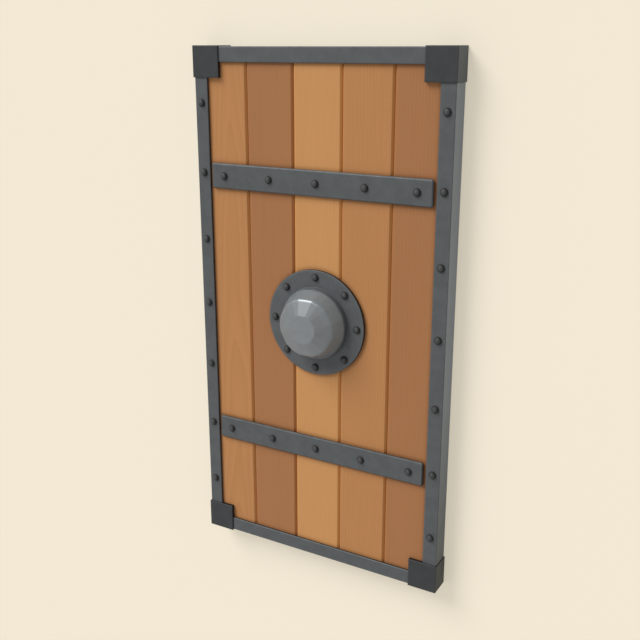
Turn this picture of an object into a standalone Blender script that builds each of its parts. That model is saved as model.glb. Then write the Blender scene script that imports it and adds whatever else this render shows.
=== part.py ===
"""Tower shield: five rows of planks in an iron rim, with corner caps, two straps and a riveted boss.

The shield lies on its back. +X is its right edge and +Y its top edge as seen from the front,
and +Z is up, out of its face. The origin is the middle of its back, on the ground. The backs of
the four corner caps are the lowest faces, so the shield rests on them. The middle plank is in
two lengths, and the opening between them lets a hand round the grip into the hollow boss.
"""

import math

import bmesh
import bpy
from mathutils import Matrix, Vector

# Driving dimensions, in metres.
GAP = 0.0003                 # clearance between pieces that touch

RIM_WIDTH = 0.630            # across the outside of the rim
RIM_HEIGHT = 1.200           # along the outside of the rim
RIM_DEPTH = 0.047            # from the rim's back edge to its front face
RIM_FACE = 0.034             # width of the rim's front face
RIM_WEB = 0.0035             # thickness of the rim's side wall
RIM_CHAMFER = 0.0015         # along the front edges of the rim

PLANK_ROWS = 5
PLANK_PITCH = 0.120          # from one seam to the next
PLANK_SETBACK = 0.006        # the planks lie this far behind the rim's front face
PLANK_THICKNESS = 0.018
PLANK_CHAMFER = 0.0047       # two of these make the groove at a seam

CAP_REACH = 0.0020           # how far a corner cap stands out from the rim's two outer sides
CAP_STEP = 0.0030            # and from the rim's front and back
CAP_WIDTH = 0.0695
CAP_HEIGHT = 0.0695
CAP_EDGE = 0.0012            # rounding of a cap's outer edges

BAND_PROUD = 0.0022          # the straps and the boss flange stand this far in front of the rim
STRAP_LENGTH = 0.550
STRAP_HEIGHT = 0.058
STRAP_SPACING = 0.6274       # from the middle of one strap to the middle of the other
STRAP_SHIFT = 0.0015         # the pair of straps sits this far above the shield's middle
STRAP_CHAMFER = 0.0030

FLANGE_RADIUS = 0.1232
FLANGE_SIDES = 40
FLANGE_BORE = 0.0787         # the hole in the flange, which holds the skirt of the dome
FLANGE_CHAMFER = 0.0015
COLLAR_FOOT = 0.0835         # radius of the collar where it meets the flange
COLLAR_HEAD = 0.0825         # radius of the collar at its top
COLLAR_HEIGHT = 0.0128

DOME_FACES = 6
DOME_FLANK = math.radians(15)  # the turn that a narrow flank takes up at either end of a face
DOME_WALL = 0.0028
DOME_FOOT = 0.0815           # radius at the collar
DOME_SHOULDER = 0.0668       # radius where the steep ring ends
DOME_SHOULDER_RISE = 0.0323  # height of the shoulder over the collar
DOME_CROWN = 0.0330          # radius of the flat crown at its six corners
DOME_CROWN_FLANK = 0.0326    # and where its flanks end
DOME_RISE = 0.0476           # height of the crown over the collar
DOME_SKIRT_DEPTH = 0.0164    # how far the dome's skirt goes down into the flange
SKIRT_SIDES = 36

RIVET_HEAD = 0.0090          # radius of a rivet's domed head
RIVET_RISE = 0.0068          # height of the head
RIVET_SHANK = 0.0035         # radius of the shank
RIVET_TAIL = 0.0058          # radius of the hammered end at the back
RIVET_TAIL_RISE = 0.0024
RIVET_SIDES = 12
HEAD_STEPS = 3               # facets from a rivet head's peak to its rim
TAIL_STEPS = 2
RIM_RIVETS = 7               # on each side of the rim
RIM_RIVET_PITCH = 0.1568
RIM_RIVET_SHIFT = 0.0065     # the rows on the rim sit this far above the shield's middle
RIM_RIVET_INSET = 0.0173     # from the rim's outer edge
STRAP_RIVETS = 5
BOSS_RIVETS = 8
BOSS_RIVET_CIRCLE = 0.1063   # radius of the circle of rivets on the flange

HAND_OPENING = 0.100         # between the two lengths of the middle plank, behind the boss
GRIP_LENGTH = 0.196
GRIP_WIDTH = 0.028
GRIP_THICKNESS = 0.020
GRIP_ROUNDING = 0.0065
NAIL_OFFSET = 0.082          # from the middle of the grip to a nail
NAIL_HEAD = 0.0060
NAIL_HEAD_RISE = 0.0022
NAIL_SHANK = 0.0025
NAIL_DEPTH = 0.012           # how far a nail goes into its plank
NAIL_POINT = 0.004

# Levels above the ground that the shield lies on.
RIM_BACK = CAP_STEP
RIM_FRONT = RIM_BACK + RIM_DEPTH
PLANK_FRONT = RIM_FRONT - PLANK_SETBACK
PLANK_BACK = PLANK_FRONT - PLANK_THICKNESS
BAND_FRONT = RIM_FRONT + BAND_PROUD
COLLAR_TOP = BAND_FRONT + COLLAR_HEIGHT
CAP_FRONT = RIM_FRONT + CAP_STEP
GRIP_TOP = PLANK_BACK - GAP
GRIP_BOTTOM = GRIP_TOP - GRIP_THICKNESS

SMOOTH_BELOW = math.radians(40)     # faces of a turned piece that meet at less than this are shaded smooth

LEFT, RIGHT, BOTTOM, TOP = -1, 1, -1, 1


def new_collection(name):
    """Return a new collection of this name, linked to the scene."""
    collection = bpy.data.collections.new(name)
    bpy.context.scene.collection.children.link(collection)
    return collection


def material(name, color, roughness, metallic):
    """Make a Principled material."""
    made = bpy.data.materials.new(name)
    made.use_nodes = True
    shader = made.node_tree.nodes["Principled BSDF"]
    shader.inputs["Base Color"].default_value = (*color, 1.0)
    shader.inputs["Roughness"].default_value = roughness
    shader.inputs["Metallic"].default_value = metallic
    made.diffuse_color = (*color, 1.0)
    return made


def mesh_object(name, mesh, collection, finish=None):
    """Put a mesh in the scene as a named object."""
    made = bpy.data.objects.new(name, mesh)
    if finish and not mesh.materials:
        mesh.materials.append(finish)
    collection.objects.link(made)
    return made


def mesh_from(bm, name):
    """Turn a bmesh into a mesh with its faces pointing out."""
    bmesh.ops.recalc_face_normals(bm, faces=bm.faces)
    mesh = bpy.data.meshes.new(name)
    bm.to_mesh(mesh)
    bm.free()
    return mesh


def box_object(name, low, high, collection, finish=None):
    """A box between two corners, with its origin at its middle."""
    low, high = Vector(low), Vector(high)
    bm = bmesh.new()
    bmesh.ops.create_cube(bm, size=1.0, matrix=Matrix.Diagonal((*(high - low), 1.0)))
    made = mesh_object(name, mesh_from(bm, name), collection, finish)
    made.location = (low + high) / 2
    return made


def chamfer(item, width, chosen):
    """Cut a flat along each edge of an object whose middle, seen from its origin, is chosen."""
    bm = bmesh.new()
    bm.from_mesh(item.data)
    edges = [e for e in bm.edges if chosen((e.verts[0].co + e.verts[1].co) / 2)]
    bmesh.ops.bevel(bm, geom=edges, offset=width, segments=1, affect="EDGES")
    bm.to_mesh(item.data)
    bm.free()


def turned_object(name, profile, sides, collection, finish):
    """Turn a profile of (radius, height) points, from the top down, about Z; smooth between edges."""
    outline = bpy.data.meshes.new(name + "_profile")
    edges = [(i, i + 1) for i in range(len(profile) - 1)]
    outline.from_pydata([(radius, 0.0, height) for radius, height in profile], edges, [])
    guide = mesh_object(name + "_profile", outline, collection)
    screw = guide.modifiers.new("turn", "SCREW")
    screw.steps = sides
    screw.render_steps = sides
    screw.use_merge_vertices = True
    screw.merge_threshold = 0.00001
    turned = guide.evaluated_get(bpy.context.evaluated_depsgraph_get())
    mesh = bpy.data.meshes.new_from_object(turned)
    mesh.name = name
    mesh.shade_smooth()
    mesh.set_sharp_from_angle(angle=SMOOTH_BELOW)
    bpy.data.objects.remove(guide)
    return mesh_object(name, mesh, collection, finish)


def bevel(item, width, segments=1):
    """Round every sharp edge of an object."""
    modifier = item.modifiers.new("edges", "BEVEL")
    modifier.width = width
    modifier.segments = segments
    modifier.limit_method = "ANGLE"
    modifier.angle_limit = math.radians(30)


def boolean(item, tool, operation):
    """Cut or join a tool into an object."""
    modifier = item.modifiers.new(operation.lower(), "BOOLEAN")
    modifier.object = tool
    modifier.operation = operation
    modifier.solver = "EXACT"


def hide_tool(tool):
    """Mark an object as a cutter, not a piece."""
    tool.hide_render = True
    tool.display_type = "WIRE"
    return tool


def add_cylinder(bm, radius, low, high, x, y, sides):
    """Add an upright closed cylinder to a bmesh."""
    place = Matrix.Translation((x, y, (low + high) / 2))
    bmesh.ops.create_cone(
        bm, cap_ends=True, segments=sides, radius1=radius, radius2=radius,
        depth=high - low, matrix=place,
    )


def rim_rivet_places(side):
    """Centres of the rivets on one side of the rim, from the top down."""
    x = side * (RIM_WIDTH / 2 - RIM_RIVET_INSET)
    middle = (RIM_RIVETS - 1) / 2
    return [(x, (middle - i) * RIM_RIVET_PITCH + RIM_RIVET_SHIFT) for i in range(RIM_RIVETS)]


def strap_middle(side):
    """The height on the shield of the middle of one strap."""
    return side * STRAP_SPACING / 2 + STRAP_SHIFT


def strap_rivet_places(side):
    """Centres of the rivets on one strap, one to a plank, from left to right."""
    middle = (STRAP_RIVETS - 1) / 2
    return [((i - middle) * PLANK_PITCH, strap_middle(side)) for i in range(STRAP_RIVETS)]


def boss_rivet_places():
    """Centres of the rivets round the boss, clockwise from the top."""
    turns = [math.radians(90 - 360 * i / BOSS_RIVETS) for i in range(BOSS_RIVETS)]
    return [(BOSS_RIVET_CIRCLE * math.cos(t), BOSS_RIVET_CIRCLE * math.sin(t)) for t in turns]


def rivet_rows():
    """Name, head level and centres of each row of rivets."""
    return [
        ("rivet_rim_left", RIM_FRONT, rim_rivet_places(LEFT)),
        ("rivet_rim_right", RIM_FRONT, rim_rivet_places(RIGHT)),
        ("rivet_strap_upper", BAND_FRONT, strap_rivet_places(TOP)),
        ("rivet_strap_lower", BAND_FRONT, strap_rivet_places(BOTTOM)),
        ("rivet_boss", BAND_FRONT, boss_rivet_places()),
    ]


def rivet_hole_tool(tools):
    """One cutter that drills every rivet hole through the iron and the planks."""
    bm = bmesh.new()
    for _, _, places in rivet_rows():
        for x, y in places:
            add_cylinder(bm, RIVET_SHANK + GAP, 0.0, CAP_FRONT + GAP, x, y, RIVET_SIDES)
    return hide_tool(mesh_object("rivet_holes", mesh_from(bm, "rivet_holes"), tools))


def nail_hole_tool(tools):
    """One cutter for the two nails through the grip, blind in the planks."""
    bm = bmesh.new()
    for side in (LEFT, RIGHT):
        top = PLANK_BACK + NAIL_DEPTH + GAP
        add_cylinder(bm, NAIL_SHANK + GAP, 0.0, top, side * NAIL_OFFSET, 0.0, RIVET_SIDES)
    return hide_tool(mesh_object("nail_holes", mesh_from(bm, "nail_holes"), tools))


def build_planks(parts, rivet_holes, nail_holes, medium, dark, light):
    """Four full planks, and a middle one in two lengths with the hand opening between them."""
    end = RIM_HEIGHT / 2 - RIM_WEB - GAP
    inner_end = HAND_OPENING / 2
    edge = RIM_WIDTH / 2 - RIM_WEB - GAP
    seams = [(number - PLANK_ROWS / 2) * PLANK_PITCH for number in range(1, PLANK_ROWS)]
    starts = [-edge] + [seam + GAP / 2 for seam in seams]
    stops = [seam - GAP / 2 for seam in seams] + [edge]
    for name, row, low, high, finish in (
        ("plank_far_left", 0, -end, end, medium),
        ("plank_left", 1, -end, end, dark),
        ("plank_middle_upper", 2, inner_end, end, light),
        ("plank_middle_lower", 2, -end, -inner_end, light),
        ("plank_right", 3, -end, end, medium),
        ("plank_far_right", 4, -end, end, dark),
    ):
        plank = box_object(
            name, (starts[row], low, PLANK_BACK), (stops[row], high, PLANK_FRONT), parts, finish)
        seam_sides = [side for side in (LEFT, RIGHT) if 0 <= row + side < PLANK_ROWS]
        chamfer(plank, PLANK_CHAMFER, lambda middle: middle.z > 0 and any(
            side * middle.x > PLANK_PITCH / 4 for side in seam_sides))
        boolean(plank, rivet_holes, "DIFFERENCE")
        if name in ("plank_left", "plank_right"):
            boolean(plank, nail_holes, "DIFFERENCE")


def build_rim(parts, tools, rivet_holes, finish):
    """Four mitred bars of L section, with the face in front and the web round the outside."""
    room = (RIM_WIDTH / 2 - RIM_WEB, RIM_HEIGHT / 2 - RIM_WEB)
    plank_room = hide_tool(box_object(
        "plank_room", (-room[0], -room[1], 0.0), (room[0], room[1], PLANK_FRONT + GAP), tools))
    for name, along, across, side in (
        ("rim_left", 1, 0, LEFT), ("rim_right", 1, 0, RIGHT),
        ("rim_bottom", 0, 1, BOTTOM), ("rim_top", 0, 1, TOP),
    ):
        outside = (RIM_WIDTH / 2, RIM_HEIGHT / 2)
        low, high = [0.0, 0.0, RIM_BACK], [0.0, 0.0, RIM_FRONT]
        low[along], high[along] = GAP - outside[along], outside[along] - GAP
        low[across], high[across] = sorted(
            (side * outside[across], side * (outside[across] - RIM_FACE)))
        bar = box_object(name, low, high, parts, finish)
        for vertex in bar.data.vertices:
            if side * vertex.co[across] < 0:
                vertex.co[along] -= math.copysign(RIM_FACE, vertex.co[along])
        chamfer(bar, RIM_CHAMFER, lambda middle: (
            middle.z > 0 and abs(middle[across]) > RIM_FACE / 4))
        boolean(bar, plank_room, "DIFFERENCE")
        if across == 0:
            boolean(bar, rivet_holes, "DIFFERENCE")


def corner_box(name, side, end, reach_x, reach_y, low, high, collection, finish=None):
    """A box set by how far its faces lie inward from the cap's outer corner, on X and on Y."""
    corner_x = RIM_WIDTH / 2 + CAP_REACH
    corner_y = RIM_HEIGHT / 2 + CAP_REACH
    xs = sorted(side * (corner_x - inward) for inward in reach_x)
    ys = sorted(end * (corner_y - inward) for inward in reach_y)
    return box_object(name, (xs[0], ys[0], low), (xs[1], ys[1], high), collection, finish)


def build_caps(parts, tools, finish):
    """Forged caps over the corners: front, back and thinner sides, turned in at the front."""
    side_wall = CAP_REACH - GAP
    wall = CAP_STEP - GAP
    inner_front = RIM_FRONT + GAP
    past = 2 * CAP_WIDTH
    free_reach = CAP_REACH + RIM_FACE + GAP
    lip_low = PLANK_FRONT + GAP
    lip_high = inner_front + wall / 2
    edge_x = (CAP_WIDTH - wall, CAP_WIDTH)
    edge_y = (CAP_HEIGHT - wall, CAP_HEIGHT)
    for side, end, name in (
        (LEFT, TOP, "cap_top_left"), (RIGHT, TOP, "cap_top_right"),
        (LEFT, BOTTOM, "cap_bottom_left"), (RIGHT, BOTTOM, "cap_bottom_right"),
    ):
        cap = corner_box(
            name, side, end, (0.0, CAP_WIDTH), (0.0, CAP_HEIGHT), 0.0, CAP_FRONT, parts, finish)
        bevel(cap, CAP_EDGE, 2)
        inside = corner_box(
            name + "_inside", side, end, (side_wall, past), (side_wall, past), wall, inner_front,
            tools)
        boolean(cap, hide_tool(inside), "DIFFERENCE")
        upright_lip = corner_box(
            name + "_lip_y", side, end, edge_x, (free_reach, CAP_HEIGHT), lip_low, lip_high, tools)
        level_lip = corner_box(
            name + "_lip_x", side, end, (free_reach, CAP_WIDTH), edge_y, lip_low, lip_high, tools)
        boolean(cap, hide_tool(upright_lip), "UNION")
        boolean(cap, hide_tool(level_lip), "UNION")


def build_straps(parts, rivet_holes, finish):
    """Two flat bars across the planks."""
    for name, side in (("strap_upper", TOP), ("strap_lower", BOTTOM)):
        middle = strap_middle(side)
        low = (-STRAP_LENGTH / 2, middle - STRAP_HEIGHT / 2, PLANK_FRONT + GAP)
        high = (STRAP_LENGTH / 2, middle + STRAP_HEIGHT / 2, BAND_FRONT)
        strap = box_object(name, low, high, parts, finish)
        bevel(strap, STRAP_CHAMFER)
        boolean(strap, rivet_holes, "DIFFERENCE")


def build_flange(parts, rivet_holes, finish):
    """The boss flange: a flat ring with a low collar round its bore."""
    back = PLANK_FRONT + GAP
    profile = [
        (FLANGE_BORE, COLLAR_TOP),
        (COLLAR_HEAD, COLLAR_TOP),
        (COLLAR_FOOT, BAND_FRONT),
        (FLANGE_RADIUS - FLANGE_CHAMFER, BAND_FRONT),
        (FLANGE_RADIUS, BAND_FRONT - FLANGE_CHAMFER),
        (FLANGE_RADIUS, back),
        (FLANGE_BORE, back),
        (FLANGE_BORE, COLLAR_TOP),
    ]
    flange = turned_object("boss_flange", profile, FLANGE_SIDES, parts, finish)
    boolean(flange, rivet_holes, "DIFFERENCE")


def facet_ring(radius, height, flank_radius=None):
    """A ring of points about Z, one at each corner between two faces and one at each flank's end."""
    points = []
    face_turn = 2 * math.pi / DOME_FACES
    for face in range(DOME_FACES):
        for turn, reach in (
            (0.0, radius), (DOME_FLANK, flank_radius or radius),
            (face_turn - DOME_FLANK, flank_radius or radius),
        ):
            angle = face * face_turn + turn
            points.append((reach * math.cos(angle), reach * math.sin(angle), height))
    return points


def hull_mesh(name, rings):
    """The convex body through rings of points, with flat facets left whole."""
    bm = bmesh.new()
    for corners in rings:
        for corner in corners:
            bm.verts.new(corner)
    bmesh.ops.convex_hull(bm, input=bm.verts)
    bmesh.ops.dissolve_limit(bm, angle_limit=math.radians(0.5), verts=bm.verts, edges=bm.edges)
    return mesh_from(bm, name)


def build_dome(parts, tools, finish):
    """The hollow faceted dome: a steep ring, six sloping faces and a flat crown, over a skirt."""
    base = COLLAR_TOP + GAP
    shoulder = base + DOME_SHOULDER_RISE
    crown = base + DOME_RISE
    outer = hull_mesh("boss_dome", [
        facet_ring(DOME_FOOT, base),
        facet_ring(DOME_SHOULDER, shoulder),
        facet_ring(DOME_CROWN, crown, DOME_CROWN_FLANK),
    ])
    dome = mesh_object("boss_dome", outer, parts, finish)

    skirt_radius = FLANGE_BORE - GAP
    bm = bmesh.new()
    add_cylinder(bm, skirt_radius, base - DOME_SKIRT_DEPTH, base + DOME_WALL, 0.0, 0.0, SKIRT_SIDES)
    skirt = hide_tool(mesh_object("dome_skirt", mesh_from(bm, "dome_skirt"), tools))
    boolean(dome, skirt, "UNION")

    bore = skirt_radius - DOME_WALL
    hollow = hull_mesh("dome_hollow", [
        facet_ring(bore, base - 2 * DOME_SKIRT_DEPTH),
        facet_ring(bore, base + DOME_WALL),
        facet_ring(DOME_SHOULDER - DOME_WALL, shoulder - DOME_WALL),
        facet_ring(DOME_CROWN - DOME_WALL / 2, crown - DOME_WALL, DOME_CROWN_FLANK - DOME_WALL / 2),
    ])
    boolean(dome, hide_tool(mesh_object("dome_hollow", hollow, tools)), "DIFFERENCE")


def domed_profile(radius, base, rise, steps):
    """A quarter of an ellipse from its peak on the axis, at base + rise, out to its rim at base."""
    turns = [math.pi / 2 * i / steps for i in range(steps)]
    arc = [(radius * math.sin(turn), base + rise * math.cos(turn)) for turn in turns]
    return arc + [(radius, base)]


def build_rivets(parts, finish):
    """Rivets with a domed head in front and a hammered end at the back of the planks."""
    tail_top = PLANK_BACK - GAP
    for row, level, places in rivet_rows():
        base = level + GAP
        shank = [(RIVET_SHANK, base), (RIVET_SHANK, tail_top)]
        tail = domed_profile(RIVET_TAIL, tail_top, -RIVET_TAIL_RISE, TAIL_STEPS)[::-1]
        profile = domed_profile(RIVET_HEAD, base, RIVET_RISE, HEAD_STEPS) + shank + tail
        first = None
        for number, (x, y) in enumerate(places, start=1):
            name = f"{row}_{number}"
            if first is None:
                rivet = first = turned_object(name, profile, RIVET_SIDES, parts, finish)
            else:
                rivet = first.copy()
                rivet.name = name
                parts.objects.link(rivet)
            rivet.location = (x, y, 0.0)


def build_grip(parts, nail_holes, wood, iron):
    """The hand grip across the opening, nailed to the backs of the planks on either side."""
    low = (-GRIP_LENGTH / 2, -GRIP_WIDTH / 2, GRIP_BOTTOM)
    high = (GRIP_LENGTH / 2, GRIP_WIDTH / 2, GRIP_TOP)
    grip = box_object("grip", low, high, parts, wood)
    bevel(grip, GRIP_ROUNDING, 3)
    boolean(grip, nail_holes, "DIFFERENCE")

    head_top = GRIP_BOTTOM - GAP
    tip = PLANK_BACK + NAIL_DEPTH
    shank = [(0.0, tip), (NAIL_SHANK, tip - NAIL_POINT), (NAIL_SHANK, head_top)]
    head = domed_profile(NAIL_HEAD, head_top, -NAIL_HEAD_RISE, TAIL_STEPS)[::-1]
    for name, side in (("grip_nail_left", LEFT), ("grip_nail_right", RIGHT)):
        nail = turned_object(name, shank + head, RIVET_SIDES, parts, iron)
        nail.location = (side * NAIL_OFFSET, 0.0, 0.0)


def build_shield():
    """Clear the scene and model every piece of the shield."""
    for item in list(bpy.data.objects):
        bpy.data.objects.remove(item)
    parts = new_collection("tower_shield")
    tools = new_collection("cutters")

    medium_wood = material("plank_wood_medium", (0.445, 0.209, 0.087), 0.62, 0.0)
    dark_wood = material("plank_wood_dark", (0.352, 0.165, 0.071), 0.62, 0.0)
    light_wood = material("plank_wood_light", (0.515, 0.262, 0.102), 0.62, 0.0)
    grip_wood = material("grip_wood", (0.300, 0.150, 0.070), 0.60, 0.0)
    rim_iron = material("rim_iron", (0.100, 0.107, 0.112), 0.55, 0.8)
    cap_iron = material("cap_iron", (0.056, 0.060, 0.062), 0.55, 0.8)
    rivet_iron = material("rivet_iron", (0.034, 0.038, 0.039), 0.50, 0.8)
    dome_steel = material("dome_steel", (0.240, 0.250, 0.250), 0.35, 1.0)

    rivet_holes = rivet_hole_tool(tools)
    nail_holes = nail_hole_tool(tools)
    build_planks(parts, rivet_holes, nail_holes, medium_wood, dark_wood, light_wood)
    build_rim(parts, tools, rivet_holes, rim_iron)
    build_caps(parts, tools, cap_iron)
    build_straps(parts, rivet_holes, rim_iron)
    build_flange(parts, rivet_holes, rim_iron)
    build_dome(parts, tools, dome_steel)
    build_rivets(parts, rivet_iron)
    build_grip(parts, nail_holes, grip_wood, rivet_iron)

    shield = bpy.data.objects.new("tower_shield", None)
    parts.objects.link(shield)
    for piece in parts.objects:
        if piece is not shield:
            piece.parent = shield


build_shield()
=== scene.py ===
"""The looks of the tower shield: every piece's finished mesh and material, the light, floor and camera.

The shield lies on its back in the frame's own coordinates, in metres: +X is its right edge, +Y its
top edge and +Z out of its face. Each finished mesh starts from the CAD piece that it stands for.
"""

import math

import bmesh
import bpy
from mathutils import Matrix, Vector, noise


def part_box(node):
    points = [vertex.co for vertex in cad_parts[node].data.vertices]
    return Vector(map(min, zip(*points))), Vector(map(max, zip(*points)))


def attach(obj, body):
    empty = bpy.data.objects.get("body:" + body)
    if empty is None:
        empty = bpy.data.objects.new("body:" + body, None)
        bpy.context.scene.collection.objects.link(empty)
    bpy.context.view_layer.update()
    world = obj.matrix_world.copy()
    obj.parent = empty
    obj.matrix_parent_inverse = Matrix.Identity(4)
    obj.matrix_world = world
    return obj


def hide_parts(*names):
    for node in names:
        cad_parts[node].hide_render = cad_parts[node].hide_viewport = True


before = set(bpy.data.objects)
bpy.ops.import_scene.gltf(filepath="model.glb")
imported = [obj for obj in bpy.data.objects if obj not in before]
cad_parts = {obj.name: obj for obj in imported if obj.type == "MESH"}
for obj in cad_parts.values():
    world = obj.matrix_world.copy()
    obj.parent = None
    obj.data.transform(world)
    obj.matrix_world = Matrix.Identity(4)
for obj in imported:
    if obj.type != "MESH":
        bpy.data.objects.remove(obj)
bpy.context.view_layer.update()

# Shapes shared with the CAD pieces, in metres.
RIVET_HEAD = 0.0090
RIVET_RISE = 0.0068
RIVET_SHANK = 0.0035
RIVET_TAIL = 0.0058
RIVET_TAIL_RISE = 0.0024
NAIL_HEAD = 0.0060
NAIL_HEAD_RISE = 0.0022
NAIL_SHANK = 0.0025
NAIL_POINT = 0.0040
FLANGE_BORE = 0.0787
COLLAR_HEAD = 0.0825
COLLAR_FOOT = 0.0835
COLLAR_HEIGHT = 0.0128
DOME_FACES = 6
DOME_FLANK = math.radians(15)
DOME_WALL = 0.0028
DOME_FOOT = 0.0815
DOME_SHOULDER = 0.0668
DOME_SHOULDER_RISE = 0.0323
DOME_CROWN = 0.0330
DOME_CROWN_FLANK = 0.0326
DOME_RISE = 0.0476
GAP = 0.0003

# How the meshes are made: what counts as one point, one face, a hard edge or a worn one.
WELD = 1e-6
FLAT_ANGLE = math.radians(0.4)
SMOOTH_ANGLE = math.radians(50)
EDGE_BEND = math.radians(14)

# The radius of each softened edge, and the least angle at which an edge is softened.
PLANK_ROUND = 0.0009
BAR_ROUND = 0.0005
CAP_ROUND = 0.0004
GRIP_ROUND = 0.0012
CHAMFER_ANGLE = math.radians(31)
FOLD_ANGLE = math.radians(50)
GRIP_ANGLE = math.radians(15)

# The cells that carry relief, along X, Y and Z; 0 leaves an axis uncut.
PLANK_CELL = (0.006, 0.012, 0.0)
SIDE_BAR_CELL = (0.006, 0.008, 0.006)
END_BAR_CELL = (0.008, 0.006, 0.006)
STRAP_CELL = (0.006, 0.006, 0.0)
CAP_CELL = (0.005, 0.005, 0.005)
GRIP_CELL = (0.006, 0.004, 0.004)

# What the plane left on the boards: its long sweeps and its shorter ripples, how deep each is and
# how many lumps a metre it has along X, Y and Z.
SWEEP_DEPTH = 0.00012
SWEEP_LUMPS = (60.0, 4.0, 20.0)
RIPPLE_DEPTH = 0.00010
RIPPLE_LUMPS = (160.0, 9.0, 90.0)

# Hammer marks: how deep and how far apart, and the swell under them as a share of their depth.
FORGED_DEPTH = 0.00010
BAR_MARKS = 0.022
FLANGE_MARKS = 0.020
CAP_MARKS = 0.016
HEAD_DEPTH = 0.00022
HEAD_MARKS = 0.006
NAIL_DEPTH = 0.00015
NAIL_MARKS = 0.005
SWELL_SHARE = 0.3
SWELL_LUMPS = (40.0, 40.0, 40.0)

# Turned and ground shapes: points round, rings down a head, points along each run, how far each
# corner is eased, and the lean of the collar's side in degrees.
TURNED_SIDES = 128
RIVET_SIDES = 32
HEAD_RINGS = 9
TAIL_RINGS = 5
FLANGE_RINGS = 6
LONG_CUTS = 7
SHORT_CUTS = 3
RIDGE_EASE = 0.0006
SHOULDER_ROUNDNESS = 0.35
FOOT_ROUNDNESS = 0.6
FLANGE_EDGE = 0.0016
COLLAR_LIP = 0.0010
COLLAR_SWEEP = 0.0010
COLLAR_LEAN = 5

# Seams, painted shade and painted sheen. A board's back is where its normal's Z is below
# BACK_NORMAL_Z. A pair gives how far a face leans before it counts as a side, and as all side.
# Painted sheen on outer sides grows from none at the foot to full at 1 / rise of the way to the
# middle, where rise is the last number below.
SEAM_DEPTH = 0.0012
BACK_NORMAL_Z = -0.5
# Painted shade on the boards beside the iron: its strength, how far it reaches across the front and how
# far below the front it fades out.
IRON_SHADE = 0.38
IRON_SHADE_REACH = 0.010
IRON_SHADE_DEPTH = 0.006
PLAIN_CHAMFER = (0.75, 0.95)
SHADED_CHAMFER = (0.40, 0.90)
SHADED_HEAD = (0.30, 0.85)
DOME_RING = (0.55, 0.80)
SHEEN_RISE = 1.25

# Tints: what each channel of a tone is multiplied by. Only the worn edges' tint is the thing's own;
# the others are painted light: warm bounce in the seams, shade beside the iron and on sheltered
# sides, and sheen on outer sides and on the dome's ring.
SEAM_BOUNCE_TINT = (1.10, 1.04, 0.86)
IRON_SHADE_TINT = (0.50, 0.45, 0.40)
SIDE_SHADE_TINT = (0.30, 0.24, 0.20)
WORN_TINT = (2.30, 2.25, 2.15)
SIDE_SHEEN_TINT = (2.34, 2.54, 2.76)
RING_SHEEN_TINT = (1.03, 1.13, 1.19)

# How far a seed moves noise, and a board's whole grain, along X, Y and Z.
SEED_SHIFT = (1.0, 0.37, 0.71)
BOARD_SHIFT = (0.173, 0.71, 0.0)

# Grain of the wood, in lumps a metre along X, Y and Z, and its growth rings, in waves a metre.
DRIFT_GRAIN = (7.0, 1.1, 7.0)
CLOUD_GRAIN = (11.0, 2.2, 11.0)
FIBRE_GRAIN = (520.0, 9.0, 520.0)
PORE_GRAIN = (1500.0, 55.0, 1500.0)
RING_WAVES = 52.0
RING_SWAY = 0.045
RING_DISTORTION = 1.6
RING_DETAIL_SCALE = 0.06

# The heart that a board's rings run round, before BOARD_SHIFT moves them: how deep it lies below
# the origin, how far aside, how far it leans in degrees and how far it turns in radians. Each
# change is from board to board.
HEART_DEPTH = 0.055
HEART_DEPTH_CHANGE = 0.020
HEART_ASIDE_CHANGE = 0.015
HEART_LEAN = 1.4
HEART_LEAN_CHANGE = 0.5
HEART_TURN = 0.02

# How much each grain darkens the wood, what counts as least and most dark, and the tints of both.
RING_SHARE = 0.42
FIBRE_SHARE = 0.62
CLOUD_SHARE = 0.50
PORE_SHARE = 0.14
GRAIN_RANGE = (0.30, 1.22)
GRAIN = 0.36
PALE_GRAIN = (0.13, 0.14, 0.15)
DEEP_GRAIN = (0.16, 0.20, 0.24)

# Grain of the metals, in lumps a metre.
IRON_MOTTLE = 34.0
IRON_PATCHES = 70.0
IRON_PITS = 420.0
STEEL_CLOUDS = 26.0
STEEL_SCRATCHES = (900.0, 60.0, 200.0)
IRON_METALLIC = 0.28
STEEL_METALLIC = 0.38

# The noise that counts as none and as all of a mark.
PORE_RANGE = (0.60, 0.74)
MOTTLE_RANGE = (0.32, 0.68)
PIT_RANGE = (0.55, 0.75)
PATCH_RANGE = (0.30, 0.62)
CLOUD_RANGE = (0.3, 0.7)

# What a metal's tone is multiplied by where it is pale, dark, pitted or rubbed.
IRON_PALE = 1.07
IRON_DARK = 0.92
IRON_PITTED = 0.86
STEEL_PALE = 1.04
STEEL_DARK = 0.95
STEEL_RUBBED = 1.35

# Worn edges: how worn they are, and the power that narrows them.
IRON_WEAR = 0.15
RIVET_WEAR = 0.06
STEEL_WEAR = 0.5
IRON_EDGE_POWER = 2.5
STEEL_EDGE_POWER = 2.0

# Roughness: the wood's least and the metals' middle, how much the grain varies it, and how much
# rubbing takes off.
WOOD_ROUGH = 0.56
WOOD_ROUGH_SPREAD = 0.16
IRON_ROUGH = 0.60
RIVET_ROUGH = 0.62
IRON_ROUGH_SPREAD = 0.16
RUBBED_SMOOTH = 0.12
STEEL_ROUGH = 0.33
STEEL_ROUGH_SPREAD = 0.10
WOOD_SPECULAR = 0.25

# Bump, in metres, and how much the fibre and the mottle add to it.
WOOD_BUMP = {"Strength": 0.22, "Distance": 0.0003}
IRON_BUMP = {"Strength": 0.25, "Distance": 0.0003}
STEEL_BUMP = {"Strength": 0.12, "Distance": 0.0001}
FIBRE_BUMP = 0.7
MOTTLE_BUMP = 1.5

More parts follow.
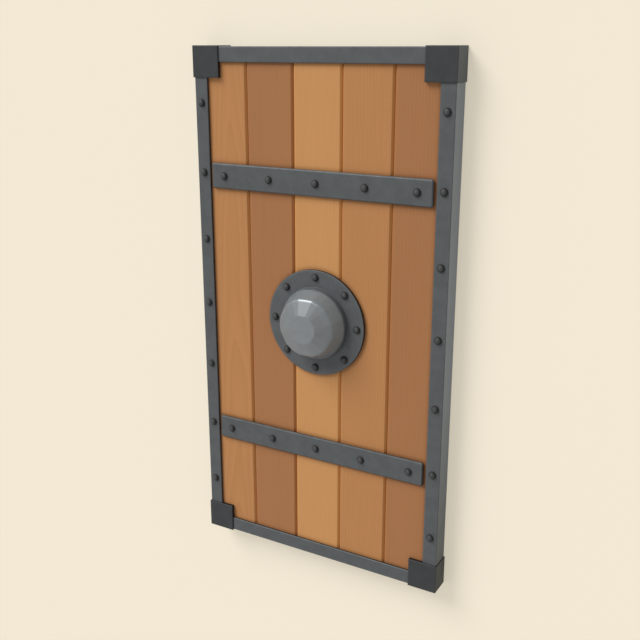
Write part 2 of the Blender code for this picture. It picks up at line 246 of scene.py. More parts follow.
# Linear colours. The floor's glow makes up for the light that the plain surround doesn't give it.
WOOD_MEDIUM = (0.443, 0.203, 0.0745)
WOOD_DARK = (0.351, 0.154, 0.060)
WOOD_LIGHT = (0.530, 0.258, 0.0935)
WOOD_GRIP = (0.250, 0.120, 0.055)
IRON_RIM = (0.087, 0.094, 0.099)
IRON_FLANGE = tuple(1.07 * channel for channel in IRON_RIM)
IRON_CAP = (0.037, 0.040, 0.042)
IRON_RIVET = (0.058, 0.062, 0.065)
STEEL_DOME = (0.213, 0.227, 0.236)
FLOOR_TONE = (0.450, 0.405, 0.335)
FLOOR_GLOW = (0.437, 0.402, 0.328)

# The floor's length and width, and its surface.
FLOOR_SIZE = 30.0
FLOOR_LUMPS = 0.8
FLOOR_PALE = 1.01
FLOOR_DARK = 0.99
FLOOR_ROUGH = 0.9
FLOOR_SPECULAR = 0.1

# Camera: a 50 mm lens to the right of the face's normal and towards its top edge.
CAMERA_LENS = 50.0
CAMERA_SENSOR = 36.0
CAMERA_PLACE = (0.9634, 0.6013, 1.7168)
CAMERA_YAW = math.radians(29.739)
CAMERA_PITCH = math.radians(17.16)

# Light: where each lamp shines from, how strongly and how wide it looks from the shield.
KEY_DIRECTION = (-0.47, 0.73, 0.50)
KEY_STRENGTH = 2.68
KEY_WIDTH = math.radians(32)
FILL_DIRECTION = (-0.47, -0.62, 0.62)
FILL_STRENGTH = 0.38
FILL_WIDTH = math.radians(70)
WORLD_COLOUR = (1.0, 0.99, 0.97)
WORLD_STRENGTH = 0.507


# Nodes ------------------------------------------------------------------------------------------

def add_node(tree, kind, settings=None, **inputs):
    """Add a shader node. Each input is a value or a socket to link from; _ stands for a space."""
    node = tree.nodes.new("ShaderNode" + kind)
    for key, value in (settings or {}).items():
        setattr(node, key, value)
    for key, value in inputs.items():
        socket = node.inputs[key.replace("_", " ")]
        if isinstance(value, bpy.types.NodeSocket):
            tree.links.new(value, socket)
        else:
            socket.default_value = value
    return node


def math_node(tree, operation, first, second=0.0):
    """The result of one sum on two values or sockets."""
    node = add_node(tree, "Math", {"operation": operation})
    for socket, value in zip(node.inputs, (first, second)):
        if isinstance(value, bpy.types.NodeSocket):
            tree.links.new(value, socket)
        else:
            socket.default_value = value
    return node.outputs[0]


def ramp(tree, factor, low, high, kind="SMOOTHSTEP"):
    """A socket that goes from 0 at low to 1 at high, clamped."""
    node = add_node(tree, "MapRange", {"interpolation_type": kind}, Value=factor)
    node.inputs["From Min"].default_value = low
    node.inputs["From Max"].default_value = high
    return node.outputs["Result"]


def mix_colour(tree, factor, first, second):
    """Blend two colours, given as tuples or sockets."""
    node = add_node(tree, "Mix", {"data_type": "RGBA"})
    tree.links.new(factor, node.inputs[0])
    for socket, value in zip((node.inputs[6], node.inputs[7]), (first, second)):
        if isinstance(value, bpy.types.NodeSocket):
            tree.links.new(value, socket)
        else:
            socket.default_value = (*value, 1.0)
    return node.outputs[2]


def scaled(colour, *factors):
    """A colour with each channel multiplied."""
    if len(factors) == 1:
        factors = factors * 3
    return tuple(channel * factor for channel, factor in zip(colour, factors))


def noise_node(tree, vector, scale, stretch=(1.0, 1.0, 1.0), offset=0.0, detail=2.0, rough=0.5):
    """Noise at a scale in lumps a metre, stretched along an axis by a number below 1."""
    mapping = add_node(
        tree, "Mapping", Vector=vector, Scale=tuple(scale * s for s in stretch),
        Location=tuple(offset * s for s in SEED_SHIFT))
    texture = add_node(
        tree, "TexNoise", Vector=mapping.outputs[0], Scale=1.0, Detail=detail, Roughness=rough)
    return texture.outputs[0]


def new_material(name):
    """A material with a bare Principled shader, its tree and its object coordinates."""
    material = bpy.data.materials.new(name)
    material.use_nodes = True
    tree = material.node_tree
    shader = tree.nodes["Principled BSDF"]
    place = add_node(tree, "TexCoord").outputs["Object"]
    return material, tree, shader, place


def painted_iron_shade(tree, place):
    """Painted shade on the boards' front beside the iron on it: 0 when clear, at full strength at each
    edge.
    """
    axes = add_node(tree, "SeparateXYZ", Vector=place)
    rim_low, rim_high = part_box("rim_left")[1].x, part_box("rim_right")[0].x
    ends_low, ends_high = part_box("rim_bottom")[1].y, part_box("rim_top")[0].y
    gaps = [
        math_node(tree, "SUBTRACT", axes.outputs["X"], rim_low),
        math_node(tree, "SUBTRACT", rim_high, axes.outputs["X"]),
        math_node(tree, "SUBTRACT", axes.outputs["Y"], ends_low),
        math_node(tree, "SUBTRACT", ends_high, axes.outputs["Y"]),
    ]
    level = add_node(tree, "CombineXYZ", X=axes.outputs["X"], Y=axes.outputs["Y"])
    reach = add_node(tree, "VectorMath", {"operation": "LENGTH"})
    tree.links.new(level.outputs[0], reach.inputs[0])
    gaps.append(math_node(tree, "SUBTRACT", reach.outputs["Value"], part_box("boss_flange")[1].x))
    for strap in ("strap_upper", "strap_lower"):
        low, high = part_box(strap)
        centre, half = (low + high) / 2, (high - low) / 2
        aside = math_node(tree, "ABSOLUTE", math_node(tree, "SUBTRACT", axes.outputs["Y"], centre.y))
        along = math_node(tree, "ABSOLUTE", math_node(tree, "SUBTRACT", axes.outputs["X"], centre.x))
        gaps.append(math_node(
            tree, "MAXIMUM", math_node(tree, "SUBTRACT", aside, half.y),
            math_node(tree, "SUBTRACT", along, half.x)))
    nearness = 0.0
    for gap in gaps:
        nearness = math_node(tree, "ADD", ramp(tree, gap, IRON_SHADE_REACH, 0.0), nearness)
    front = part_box("plank_left")[1].z
    nearness = math_node(
        tree, "MULTIPLY", nearness, ramp(tree, axes.outputs["Z"], front - IRON_SHADE_DEPTH, front))
    return math_node(tree, "MULTIPLY", nearness, IRON_SHADE)


def wood_material(name, tone, seed, shade_by_iron=True):
    """Oiled softwood: growth rings cut lengthwise, fine fibres and slow changes of tone along Y."""
    material, tree, shader, place = new_material(name)
    shift = tuple(seed * s for s in BOARD_SHIFT)
    moved = add_node(tree, "Mapping", Vector=place, Location=shift).outputs[0]

    drift = noise_node(tree, moved, 1.0, DRIFT_GRAIN, seed, 2.0)
    sway = math_node(tree, "MULTIPLY", math_node(tree, "SUBTRACT", drift, 0.5), RING_SWAY)
    push = add_node(tree, "CombineXYZ", X=sway, Z=sway)
    swayed = add_node(tree, "VectorMath", {"operation": "ADD"})
    tree.links.new(moved, swayed.inputs[0])
    tree.links.new(push.outputs[0], swayed.inputs[1])
    lean = math.radians(HEART_LEAN + HEART_LEAN_CHANGE * math.sin(seed * 2.1))
    aside = HEART_ASIDE_CHANGE * math.sin(seed * 1.7)
    depth = HEART_DEPTH + HEART_DEPTH_CHANGE * math.cos(seed)
    trunk = add_node(
        tree, "Mapping", Vector=swayed.outputs[0], Rotation=(lean, 0.0, HEART_TURN),
        Location=(aside, 0.0, depth))
    rings = add_node(
        tree, "TexWave", {"wave_type": "RINGS", "rings_direction": "Y", "wave_profile": "SAW"},
        Vector=trunk.outputs[0], Scale=RING_WAVES, Distortion=RING_DISTORTION, Detail=2.0)
    rings.inputs["Detail Scale"].default_value = RING_DETAIL_SCALE
    fibre = noise_node(tree, moved, 1.0, FIBRE_GRAIN, seed, 3.0, 0.62)
    pores = ramp(tree, noise_node(tree, moved, 1.0, PORE_GRAIN, seed, 1.0), *PORE_RANGE)
    cloud = noise_node(tree, moved, 1.0, CLOUD_GRAIN, seed + 4.0, 2.0)

    darkness = math_node(tree, "MULTIPLY", rings.outputs["Fac"], RING_SHARE)
    for mark, share in ((fibre, FIBRE_SHARE), (cloud, CLOUD_SHARE), (pores, PORE_SHARE)):
        darkness = math_node(tree, "ADD", darkness, math_node(tree, "MULTIPLY", mark, share))
    factor = ramp(tree, darkness, *GRAIN_RANGE)
    pale = scaled(tone, *(1.0 + GRAIN * change for change in PALE_GRAIN))
    deep = scaled(tone, *(1.0 - GRAIN * change for change in DEEP_GRAIN))
    colour = mix_colour(tree, factor, pale, deep)
    # Painted warm bounce light in the seams: on the boards the wear attribute holds how deep in a seam
    # a point lies.
    seam = add_node(tree, "Attribute", {"attribute_name": "wear"}).outputs["Fac"]
    colour = mix_colour(tree, seam, colour, scaled(tone, *SEAM_BOUNCE_TINT))
    # Painted shade: the boards are darkened beside the iron, where its contact shadow falls.
    if shade_by_iron:
        colour = mix_colour(tree, painted_iron_shade(tree, place), colour, scaled(tone, *IRON_SHADE_TINT))
    tree.links.new(colour, shader.inputs["Base Color"])

    rough = math_node(tree, "MULTIPLY", factor, WOOD_ROUGH_SPREAD)
    tree.links.new(math_node(tree, "ADD", rough, WOOD_ROUGH), shader.inputs["Roughness"])
    shader.inputs["Specular IOR Level"].default_value = WOOD_SPECULAR
    height = math_node(tree, "ADD", math_node(tree, "MULTIPLY", fibre, FIBRE_BUMP), factor)
    bump = add_node(tree, "Bump", Height=height, **WOOD_BUMP)
    bump.invert = True
    tree.links.new(bump.outputs[0], shader.inputs["Normal"])
    return material


def iron_material(name, tone, seed, rough=IRON_ROUGH, wear=IRON_WEAR):
    """Blackened iron: a mottled, pitted skin, with painted sheen on outer sides and painted
    shade on sheltered ones.

    The mesh says where: wear is 1 on its outer edges, and side is above 0 where a side gets painted
    sheen and below 0 where it gets painted shade.
    """
    material, tree, shader, place = new_material(name)
    mottle = noise_node(tree, place, IRON_MOTTLE, offset=seed, detail=4.0, rough=0.6)
    fine = noise_node(tree, place, IRON_PITS, offset=seed, detail=3.0, rough=0.6)
    pale, dark = scaled(tone, IRON_PALE), scaled(tone, IRON_DARK)
    colour = mix_colour(tree, ramp(tree, mottle, *MOTTLE_RANGE), pale, dark)
    colour = mix_colour(tree, ramp(tree, fine, *PIT_RANGE), colour, scaled(tone, IRON_PITTED))

    edge = add_node(tree, "Attribute", {"attribute_name": "wear"}).outputs["Fac"]
    wear_and_sheen = math_node(tree, "POWER", edge, IRON_EDGE_POWER)
    patches = noise_node(tree, place, IRON_PATCHES, offset=seed + 3.0, detail=3.0)
    patchy = ramp(tree, patches, *PATCH_RANGE)
    wear_and_sheen = math_node(tree, "MULTIPLY", math_node(tree, "MULTIPLY", wear_and_sheen, patchy), wear)
    colour = mix_colour(tree, wear_and_sheen, colour, scaled(tone, *WORN_TINT))
    # Painted sheen on outer sides and painted shade on sheltered ones, from the side attribute.
    side = add_node(tree, "Attribute", {"attribute_name": "side"}).outputs["Fac"]
    side_sheen = ramp(tree, side, 0.0, 1.0, "LINEAR")
    side_shade = ramp(tree, side, 0.0, -1.0, "LINEAR")
    colour = mix_colour(tree, side_sheen, colour, scaled(tone, *SIDE_SHEEN_TINT))
    colour = mix_colour(tree, side_shade, colour, scaled(tone, *SIDE_SHADE_TINT))
    tree.links.new(colour, shader.inputs["Base Color"])

    shader.inputs["Metallic"].default_value = IRON_METALLIC
    skin = math_node(tree, "MULTIPLY", mottle, IRON_ROUGH_SPREAD)
    skin = math_node(tree, "ADD", skin, rough - IRON_ROUGH_SPREAD / 2)
    smoothed = math_node(tree, "MULTIPLY", wear_and_sheen, RUBBED_SMOOTH)
    tree.links.new(math_node(tree, "SUBTRACT", skin, smoothed), shader.inputs["Roughness"])
    height = math_node(tree, "ADD", fine, math_node(tree, "MULTIPLY", mottle, MOTTLE_BUMP))
    bump = add_node(tree, "Bump", Height=height, **IRON_BUMP)
    tree.links.new(bump.outputs[0], shader.inputs["Normal"])
    return material


def steel_material(name, tone):
    """Ground steel: bright facets with fine scratches, and a painted pale, cool sheen where side is
    above 0.
    """
    material, tree, shader, place = new_material(name)
    cloudy = noise_node(tree, place, STEEL_CLOUDS, detail=4.0, rough=0.6)
    scratches = noise_node(tree, place, 1.0, STEEL_SCRATCHES, detail=2.0)
    pale, dark = scaled(tone, STEEL_PALE), scaled(tone, STEEL_DARK)
    colour = mix_colour(tree, ramp(tree, cloudy, *CLOUD_RANGE), pale, dark)
    edge = add_node(tree, "Attribute", {"attribute_name": "wear"}).outputs["Fac"]
    wear_and_sheen = math_node(tree, "POWER", edge, STEEL_EDGE_POWER)
    wear_and_sheen = math_node(tree, "MULTIPLY", wear_and_sheen, STEEL_WEAR)
    colour = mix_colour(tree, wear_and_sheen, colour, scaled(tone, STEEL_RUBBED))
    # Painted sheen, paler and cooler, on the dome's steep ring.
    side = add_node(tree, "Attribute", {"attribute_name": "side"}).outputs["Fac"]
    ring = ramp(tree, side, 0.0, 1.0, "LINEAR")
    colour = mix_colour(tree, ring, colour, scaled(tone, *RING_SHEEN_TINT))
    tree.links.new(colour, shader.inputs["Base Color"])
    shader.inputs["Metallic"].default_value = STEEL_METALLIC
    skin = math_node(tree, "MULTIPLY", cloudy, STEEL_ROUGH_SPREAD)
    skin = math_node(tree, "ADD", skin, STEEL_ROUGH - STEEL_ROUGH_SPREAD / 2)
    tree.links.new(skin, shader.inputs["Roughness"])
    bump = add_node(tree, "Bump", Height=scratches, **STEEL_BUMP)
    tree.links.new(bump.outputs[0], shader.inputs["Normal"])
    return material


# Meshes -----------------------------------------------------------------------------------------

def clean_copy(node):
    """A bmesh of a CAD piece, with its triangles joined back into flat faces."""
    bm = bmesh.new()
    bm.from_mesh(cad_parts[node].data)
    bmesh.ops.remove_doubles(bm, verts=bm.verts, dist=WELD)
    bmesh.ops.dissolve_limit(bm, angle_limit=FLAT_ANGLE, verts=bm.verts, edges=bm.edges)
    return bm


def soften(bm, width, segments, least_angle):
    """Round the edges where faces meet at more than an angle."""
    edges = [e for e in bm.edges if len(e.link_faces) == 2 and e.calc_face_angle() > least_angle]
    bmesh.ops.bevel(
        bm, geom=edges, offset=width, segments=segments, profile=0.5, affect="EDGES",
        clamp_overlap=True)


def split_across(bm, faces, axis, low, high, step):
    """Cut faces by planes across an axis until the strips are no wider than a step."""
    if high - low <= step:
        return
    middle = (low + high) / 2
    point, normal = Vector(), Vector()
    point[axis], normal[axis] = middle, 1.0
    edges = {edge for face in faces for edge in face.edges}
    verts = {vert for face in faces for vert in face.verts}
    cut = bmesh.ops.bisect_plane(
        bm, geom=[*verts, *edges, *faces], dist=WELD, plane_co=point, plane_no=normal)
    found = [item for item in cut["geom"] if isinstance(item, bmesh.types.BMFace)]
    below = [face for face in found if face.calc_center_median()[axis] < middle]
    above = [face for face in found if face.calc_center_median()[axis] >= middle]
    split_across(bm, below, axis, low, middle, step)
    split_across(bm, above, axis, middle, high, step)


def order_faces(bm):
    """Put the faces in the same order in every run, because cutting by planes doesn't."""
    bm.verts.index_update()
    ranked = sorted(bm.faces, key=lambda face: sorted(vert.index for vert in face.verts))
    for rank, face in enumerate(ranked):
        face.index = rank
    bm.faces.sort()


def add_grid(bm, step):
    """Split a body into cells small enough to carry relief; step gives the cell size on each axis."""
    for axis, size in enumerate(step):
        if size:
            places = [vert.co[axis] for vert in bm.verts]
            split_across(bm, list(bm.faces), axis, min(places), max(places), size)
    order_faces(bm)


def add_relief(bm, relief):
    """Move each point along its normal, which is up to date, by relief(point)."""
    moves = [vert.normal * relief(vert.co) for vert in bm.verts]
    for vert, move in zip(bm.verts, moves):
        vert.co += move


def edge_weights(bm):
    """How strongly each point stands out, from 0 on flats to 1 on outer edges."""
    weights = []
    for vert in bm.verts:
        bends = [e.calc_face_angle_signed(0.0) for e in vert.link_edges if len(e.link_faces) == 2]
        weights.append(min(1.0, max(0.0, max(bends, default=0.0)) / EDGE_BEND))
    return weights


def seam_weights(bm):
    """How deep in a seam each point lies, from 0 on the boards' faces to 1 below their chamfers."""
    top = max(vert.co.z for vert in bm.verts)
    return [
        0.0 if vert.normal.z < BACK_NORMAL_Z else min(1.0, (top - vert.co.z) / SEAM_DEPTH)
        for vert in bm.verts]


def side_weights(bm, wear_and_sheen, ceiling=math.inf, steep=PLAIN_CHAMFER):
    """Where a metal piece's upright sides get painted light: above 0 for painted sheen, below 0 for
    painted shade.

    Sides that face away from the shield's middle get painted sheen if the second argument is true,
    less and less towards its foot. All others get painted shade, up to a ceiling. Steep gives where
    a face starts to count as a side and where it is one, as how far its normal leans.
    """
    bm.normal_update()
    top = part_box("rim_top")[1].y
    weights = []
    for vert in bm.verts:
        level = math.hypot(vert.normal.x, vert.normal.y)
        upright = min(1.0, max(0.0, (level - steep[0]) / (steep[1] - steep[0])))
        outward = vert.normal.x * vert.co.x + vert.normal.y * vert.co.y > 0.0
        if wear_and_sheen and outward:
            weights.append(upright * min(1.0, SHEEN_RISE * (1.0 + vert.co.y / top)))
        else:
            weights.append(-upright if vert.co.z < ceiling else 0.0)
    return weights


def finish_piece(node, bm, material, relief=None, weigh=edge_weights, sides=None):
    """Turn a bmesh into the piece that stands for a CAD node, riding on the shield's one body."""
    bm.normal_update()
    weights = weigh(bm)
    if relief:
        add_relief(bm, relief)
    mesh = bpy.data.meshes.new(node + "_finished")
    bm.to_mesh(mesh)
    bm.free()
    mesh.shade_smooth()
    mesh.set_sharp_from_angle(angle=SMOOTH_ANGLE)
    mesh.attributes.new("wear", "FLOAT", "POINT").data.foreach_set("value", weights)
    if sides:
        mesh.attributes.new("side", "FLOAT", "POINT").data.foreach_set("value", sides)
    mesh.materials.append(material)
    piece = bpy.data.objects.new(node + "_finished", mesh)
    bpy.context.scene.collection.objects.link(piece)
    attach(piece, "root")
    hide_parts(node)
    return piece


def turned_bmesh(profile, sides, centre):
    """Turn a profile of (radius, height) points about an upright axis.

    A profile that starts off the axis is closed into a loop.
    """
    bm = bmesh.new()
    rings = []
    for radius, height in profile:
        if radius == 0.0:
            rings.append([bm.verts.new((centre[0], centre[1], height))] * sides)
            continue
        turns = [2 * math.pi * i / sides for i in range(sides)]
        rings.append([
            bm.verts.new((centre[0] + radius * math.cos(t), centre[1] + radius * math.sin(t), height))
            for t in turns])
    pairs = list(zip(rings, rings[1:]))
    if profile[0][0] > 0.0:
        pairs.append((rings[-1], rings[0]))
    for above, below in pairs:
        for i in range(sides):
            corners = [above[i], below[i], below[(i + 1) % sides], above[(i + 1) % sides]]
            bm.faces.new(list(dict.fromkeys(corners)))
    bmesh.ops.recalc_face_normals(bm, faces=bm.faces)
    return bm


def arc(centre, radius, start, stop, steps):
    """Points on an arc in a profile, between two turns in degrees."""
    turns = [math.radians(start + (stop - start) * i / steps) for i in range(steps + 1)]
    return [(centre[0] + radius * math.cos(t), centre[1] + radius * math.sin(t)) for t in turns]


def lumps(point, seed, scale):
    """Smooth noise from -1 to 1 at a scale in lumps a metre, along each axis."""
    return noise.noise(Vector((
        point.x * scale[0] + seed * 7.3, point.y * scale[1] + seed * 3.1, point.z * scale[2])))


# Pieces -----------------------------------------------------------------------------------------

def finish_planks():
    """Planed boards: rounded seams, and faces that still show the sweep of the plane."""
    for seed, (node, tone, slot) in enumerate((
        ("plank_far_left", WOOD_MEDIUM, "wood_medium"),
        ("plank_left", WOOD_DARK, "wood_dark"),
        ("plank_middle_upper", WOOD_LIGHT, "wood_light"),
        ("plank_middle_lower", WOOD_LIGHT, "wood_light"),
        ("plank_right", WOOD_MEDIUM, "wood_medium"),
        ("plank_far_right", WOOD_DARK, "wood_dark"),
    ), start=1):
        bm = clean_copy(node)
        soften(bm, PLANK_ROUND, 3, CHAMFER_ANGLE)
        add_grid(bm, PLANK_CELL)

        def planed(point, seed=seed):
            return (SWEEP_DEPTH * (lumps(point, seed, SWEEP_LUMPS) - 1.0)
                    + RIPPLE_DEPTH * (lumps(point, seed + 9, RIPPLE_LUMPS) - 1.0))

        material = wood_material(node + "_wood", tone, seed * 1.37)
        finish_piece(node, bm, material, planed, seam_weights)


def hammered(depth, size, seed):
    """Relief of shallow hammer marks of a given depth and size."""
    def relief(point):
        spots = noise.voronoi(point / size + Vector((seed * 5.7, seed * 2.3, seed)))[0]
        bowl = 1.0 - min(1.0, spots[0])
        return -depth * (bowl + SWELL_SHARE * (1.0 - lumps(point, seed, SWELL_LUMPS)))
    return relief


def finish_ironwork():
    """The rim's bars and the two straps: forged flat bar with softened edges."""
    for seed, (node, cell, steep) in enumerate((
        ("rim_left", SIDE_BAR_CELL, PLAIN_CHAMFER),
        ("rim_right", SIDE_BAR_CELL, PLAIN_CHAMFER),
        ("rim_top", END_BAR_CELL, PLAIN_CHAMFER),
        ("rim_bottom", END_BAR_CELL, PLAIN_CHAMFER),
        ("strap_upper", STRAP_CELL, PLAIN_CHAMFER),
        ("strap_lower", STRAP_CELL, SHADED_CHAMFER),
    ), start=1):
        bm = clean_copy(node)
        soften(bm, BAR_ROUND, 2, CHAMFER_ANGLE)
        add_grid(bm, cell)
        # Painted light: the rim's outer sides get painted sheen; all other sides get painted shade, on
        # the lower strap its chamfers too.
        sides = side_weights(bm, node.startswith("rim"), steep=steep)
        material = iron_material(node + "_iron", IRON_RIM, seed * 2.9)
        relief = hammered(FORGED_DEPTH, BAR_MARKS, seed)
        finish_piece(node, bm, material, relief, sides=sides)


def finish_caps():
    """The corner plates: darker folded plate, its bends and free edges rounded."""
    for seed, node in enumerate((
        "cap_top_left", "cap_top_right", "cap_bottom_left", "cap_bottom_right",
    ), start=11):
        bm = clean_copy(node)
        soften(bm, CAP_ROUND, 2, FOLD_ANGLE)
        add_grid(bm, CAP_CELL)
        # Painted light: painted sheen on the plates' outer sides, painted shade on their inner sides.
        sides = side_weights(bm, True)
        material = iron_material(node + "_iron", IRON_CAP, seed * 1.9)
        relief = hammered(FORGED_DEPTH, CAP_MARKS, seed)
        finish_piece(node, bm, material, relief, sides=sides)


def finish_flange():
    """The boss flange: a round plate with its collar raised in one sweep from the flat."""
    low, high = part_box("boss_flange")
    radius = high.x
    top = high.z - COLLAR_HEIGHT
    edge, lip, sweep = FLANGE_EDGE, COLLAR_LIP, COLLAR_SWEEP
    profile = arc((COLLAR_HEAD - lip, high.z - lip), lip, 90, COLLAR_LEAN, 4)
    profile += arc((COLLAR_FOOT + sweep, top + sweep), -sweep, COLLAR_LEAN, 90, 5)
    inner, outer = COLLAR_FOOT + 2 * sweep, radius - edge
    profile += [
        (inner + (outer - inner) * i / FLANGE_RINGS, top) for i in range(FLANGE_RINGS)]
    profile += arc((radius - edge, top - edge), edge, 90, 0, 4)
    profile += arc((radius - edge / 2, low.z + edge / 2), edge / 2, 0, -90, 2)
    profile += arc((FLANGE_BORE + edge / 2, low.z + edge / 2), edge / 2, 270, 180, 2)
    profile += arc((FLANGE_BORE + edge / 2, high.z - edge / 2), edge / 2, 180, 90, 2)
    bm = turned_bmesh(profile, TURNED_SIDES, (0.0, 0.0))
    # Painted shade on the flange's upright sides below the plate's top: its outer edge and its bore.
    sides = side_weights(bm, False, top)
    material = iron_material("boss_flange_iron", IRON_FLANGE, 23.0)
    relief = hammered(FORGED_DEPTH, FLANGE_MARKS, 21)
    finish_piece("boss_flange", bm, material, relief, sides=sides)


def facet_loop(radius, flank_radius, height, roundness):
    """One level of the dome: eighteen corners, eased, with points along the straights between them.

    A corner between two faces stands at radius and a flank's end at flank_radius. Roundness takes
    the straights from flat, at 0, to part of a circle, at 1.
    """
    corners = []
    for face in range(DOME_FACES):
        turn = 2 * math.pi * face / DOME_FACES
        for shift, reach in ((0, radius), (DOME_FLANK, flank_radius), (-DOME_FLANK, flank_radius)):
            angle = turn + shift + (2 * math.pi / DOME_FACES if shift < 0 else 0)
            corners.append(Vector((reach * math.cos(angle), reach * math.sin(angle))))
    loop = []
    for i, corner in enumerate(corners):
        before, after = corners[i - 1], corners[(i + 1) % len(corners)]
        enter = corner + (before - corner).normalized() * RIDGE_EASE
        leave = corner + (after - corner).normalized() * RIDGE_EASE
        loop += [bend(enter, corner, leave, t / 4) for t in range(5)]
        arrive = after + (corner - after).normalized() * RIDGE_EASE
        cuts = LONG_CUTS if i % 3 == 1 else SHORT_CUTS
        loop += [leave.lerp(arrive, (t + 1) / (cuts + 1)) for t in range(cuts)]
    loop = [point.lerp(point.normalized() * radius, roundness) for point in loop]
    return [Vector((point.x, point.y, height)) for point in loop]


def bend(first, middle, last, t):
    """A point on the curve from first to last that leans towards middle."""
    return first.lerp(middle, t).lerp(middle.lerp(last, t), t)


def chain(points, ease, cuts):
    """Points down one line of the dome: each corner eased over a length, each run cut in steps."""
    line = []
    for i in range(1, len(points) - 1):
        before, corner, after = points[i - 1:i + 2]
        enter = corner + (before - corner).normalized() * ease[i - 1]
        leave = corner + (after - corner).normalized() * ease[i - 1]
        start = points[0] if i == 1 else line[-1]
        line += [start.lerp(enter, (t + 1) / (cuts[i - 1] + 1)) for t in range(cuts[i - 1])]
        line += [bend(enter, corner, leave, t / 6) for t in range(7)]
    return line


def finish_dome():
    """The dome: flat ground facets, their ridges just eased, hollow over a short skirt."""
    low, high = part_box("boss_dome")
    foot = high.z - DOME_RISE
    shoulder = foot + DOME_SHOULDER_RISE
    skirt = FLANGE_BORE - GAP
    bore = skirt - DOME_WALL
    inside = DOME_SHOULDER - DOME_WALL
    levels = [
        facet_loop(DOME_CROWN, DOME_CROWN_FLANK, high.z, 0.0),
        facet_loop(DOME_SHOULDER, DOME_SHOULDER, shoulder, SHOULDER_ROUNDNESS),
        facet_loop(DOME_FOOT, DOME_FOOT, foot, FOOT_ROUNDNESS),
        facet_loop(skirt, skirt, foot, 1.0),
        facet_loop(skirt, skirt, low.z, 1.0),
        facet_loop(bore, bore, low.z, 1.0),
        facet_loop(bore, bore, foot + DOME_WALL, 1.0),
        facet_loop(inside, inside, shoulder - DOME_WALL, SHOULDER_ROUNDNESS),
        facet_loop(DOME_CROWN, DOME_CROWN_FLANK, high.z - DOME_WALL, 0.0),
    ]
    ease = (0.0006, 0.0038, 0.0006, 0.0004, 0.0005, 0.0005, 0.0010, 0.0015, 0.0006)
    cuts = (8, 10, 10, 0, 1, 0, 3, 8, 8)
    peak, ceiling = Vector((0.0, 0.0, high.z)), Vector((0.0, 0.0, high.z - DOME_WALL))
    lines = [chain([peak, *points, ceiling], ease, cuts) for points in zip(*levels)]
    bm = bmesh.new()
    peak, ceiling = bm.verts.new(peak), bm.verts.new(ceiling)
    grid = [[bm.verts.new(point) for point in line] for line in lines]
    for this, following in zip(grid, grid[1:] + grid[:1]):
        bm.faces.new((peak, this[0], following[0]))
        bm.faces.new((ceiling, following[-1], this[-1]))
        for i in range(len(this) - 1):
            bm.faces.new((this[i], this[i + 1], following[i + 1], following[i]))
    bmesh.ops.recalc_face_normals(bm, faces=bm.faces)
    # Painted sheen: the dome's steep outer ring is painted paler and cooler.
    sides = side_weights(bm, True, steep=DOME_RING)
    material = steel_material("boss_dome_steel", STEEL_DOME)
    finish_piece("boss_dome", bm, material, sides=sides)


def domed(radius, base, rise, steps):
    """A quarter of an ellipse from its peak on the axis out to its rim at base."""
    turns = [math.pi / 2 * i / steps for i in range(steps)]
    points = [(radius * math.sin(t), base + rise * math.cos(t)) for t in turns]
    return points + [(radius, base)]


def finish_rivets():
    """Rivets: each head hammered a little out of true, with painted shade round its foot."""
    material = iron_material("rivet_iron", IRON_RIVET, 31.0, RIVET_ROUGH, RIVET_WEAR)
    rivets = [name for name in sorted(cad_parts) if name.startswith("rivet_")]
    for seed, node in enumerate(rivets):
        low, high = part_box(node)
        centre = (low + high) / 2
        base = high.z - RIVET_RISE
        tail_top = low.z + RIVET_TAIL_RISE
        profile = domed(RIVET_HEAD, base, RIVET_RISE, HEAD_RINGS)
        profile += [(RIVET_SHANK, base), (RIVET_SHANK, tail_top)]
        profile += domed(RIVET_TAIL, tail_top, -RIVET_TAIL_RISE, TAIL_RINGS)[::-1]
        bm = turned_bmesh(profile, RIVET_SIDES, centre)
        # Painted shade on the rivet's steep sides: round the foot of its head, and on its shank and
        # tail.
        sides = side_weights(bm, False, steep=SHADED_HEAD)
        relief = hammered(HEAD_DEPTH, HEAD_MARKS, seed)
        finish_piece(node, bm, material, relief, sides=sides)


def finish_grip():
    """The grip and its nails."""
    bm = clean_copy("grip")
    soften(bm, GRIP_ROUND, 2, GRIP_ANGLE)
    add_grid(bm, GRIP_CELL)
    material = wood_material("grip_wood_turned", WOOD_GRIP, 9.1, shade_by_iron=False)
    finish_piece("grip", bm, material)
    iron = bpy.data.materials["rivet_iron"]
    for seed, node in enumerate(("grip_nail_left", "grip_nail_right"), start=40):
        low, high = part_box(node)
        head_top = low.z + NAIL_HEAD_RISE
        profile = [(0.0, high.z), (NAIL_SHANK, high.z - NAIL_POINT), (NAIL_SHANK, head_top)]
        profile += domed(NAIL_HEAD, head_top, -NAIL_HEAD_RISE, TAIL_RINGS)[::-1]
        bm = turned_bmesh(profile, RIVET_SIDES, (low + high) / 2)
        finish_piece(node, bm, iron, hammered(NAIL_DEPTH, NAIL_MARKS, seed))


# Surroundings -----------------------------------------------------------------------------------

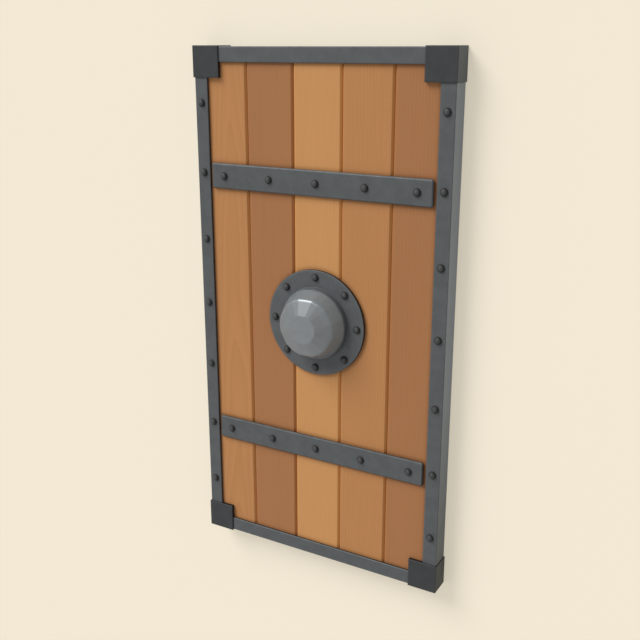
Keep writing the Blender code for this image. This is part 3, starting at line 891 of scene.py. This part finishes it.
def add_floor():
    """A plain pale floor with a faint glow."""
    bpy.ops.mesh.primitive_plane_add(size=FLOOR_SIZE)
    floor = bpy.context.object
    floor.name = "floor"
    material, tree, shader, place = new_material("floor_pale")
    shade = noise_node(tree, place, FLOOR_LUMPS, detail=1.0)
    pale, dark = scaled(FLOOR_TONE, FLOOR_PALE), scaled(FLOOR_TONE, FLOOR_DARK)
    tree.links.new(mix_colour(tree, shade, pale, dark), shader.inputs["Base Color"])
    shader.inputs["Roughness"].default_value = FLOOR_ROUGH
    shader.inputs["Specular IOR Level"].default_value = FLOOR_SPECULAR
    shader.inputs["Emission Color"].default_value = (*FLOOR_GLOW, 1.0)
    shader.inputs["Emission Strength"].default_value = 1.0
    floor.data.materials.append(material)


def add_light():
    """A wide key from beyond the top edge, a wide faint fill from the foot, and an even surround."""
    for name, direction, strength, width in (
        ("key", KEY_DIRECTION, KEY_STRENGTH, KEY_WIDTH),
        ("fill", FILL_DIRECTION, FILL_STRENGTH, FILL_WIDTH),
    ):
        light = bpy.data.lights.new(name, "SUN")
        light.energy = strength
        light.angle = width
        lamp = bpy.data.objects.new(name, light)
        lamp.location = direction
        lamp.rotation_euler = Vector(direction).to_track_quat("Z", "X").to_euler()
        bpy.context.scene.collection.objects.link(lamp)
    world = bpy.data.worlds.new("studio")
    world.use_nodes = True
    surround = world.node_tree.nodes["Background"]
    surround.inputs["Color"].default_value = (*WORLD_COLOUR, 1.0)
    surround.inputs["Strength"].default_value = WORLD_STRENGTH
    bpy.context.scene.world = world


def add_camera():
    """The camera over the lying shield, level with its top edge."""
    data = bpy.data.cameras.new("camera")
    data.lens = CAMERA_LENS
    data.sensor_width = CAMERA_SENSOR
    camera = bpy.data.objects.new("camera", data)
    bpy.context.scene.collection.objects.link(camera)
    forward = Vector((
        -math.sin(CAMERA_YAW) * math.cos(CAMERA_PITCH),
        -math.sin(CAMERA_PITCH),
        -math.cos(CAMERA_YAW) * math.cos(CAMERA_PITCH)))
    right = forward.cross(Vector((0.0, 1.0, 0.0))).normalized()
    up = right.cross(forward)
    turn = Matrix((right, up, -forward)).transposed().to_4x4()
    camera.matrix_world = Matrix.Translation(CAMERA_PLACE) @ turn
    bpy.context.scene.camera = camera


finish_planks()
finish_ironwork()
finish_caps()
finish_flange()
finish_dome()
finish_rivets()
finish_grip()
add_floor()
add_light()
add_camera()
bpy.context.scene.view_settings.view_transform = "Standard"
